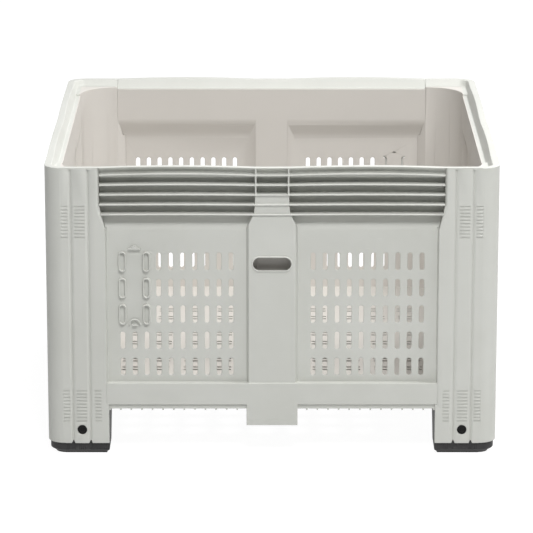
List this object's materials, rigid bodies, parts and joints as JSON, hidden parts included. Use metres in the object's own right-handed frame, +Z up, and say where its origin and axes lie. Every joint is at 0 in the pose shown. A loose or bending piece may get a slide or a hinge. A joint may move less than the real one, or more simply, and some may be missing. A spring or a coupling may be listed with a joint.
{
  "type": "fruit bin",
  "caption": "Square vented bulk fruit bin with louvred and slotted walls, hollow grooved corner posts, a ribbed floor, fork entries on all sides and black feet held by pegs.",
  "frame": {"origin": "on the ground under the middle of the bin", "axes": "+Z up, +Y from the front wall to the rear wall, +X to the right seen from the front"},
  "size_m": [1.162, 1.162, 0.766],
  "materials": {
    "shell": "moulded polyethylene, light warm grey, fine satin",
    "foot": "black moulded plastic, scuffed",
    "peg": "black moulded plastic, smooth"
  },
  "bodies": {
    "root": {"floor_deck": "shell", "front_wall": "shell", "right_wall": "shell", "rear_wall": "shell", "left_wall": "shell", "front_left_post": "shell", "front_right_post": "shell", "rear_right_post": "shell", "rear_left_post": "shell", "front_left_foot": "foot", "front_right_foot": "foot", "rear_right_foot": "foot", "rear_left_foot": "foot", "front_left_peg_1": "peg", "front_left_peg_2": "peg", "front_right_peg_1": "peg", "front_right_peg_2": "peg", "rear_right_peg_1": "peg", "rear_right_peg_2": "peg", "rear_left_peg_1": "peg", "rear_left_peg_2": "peg"}
  },
  "joints": []
}
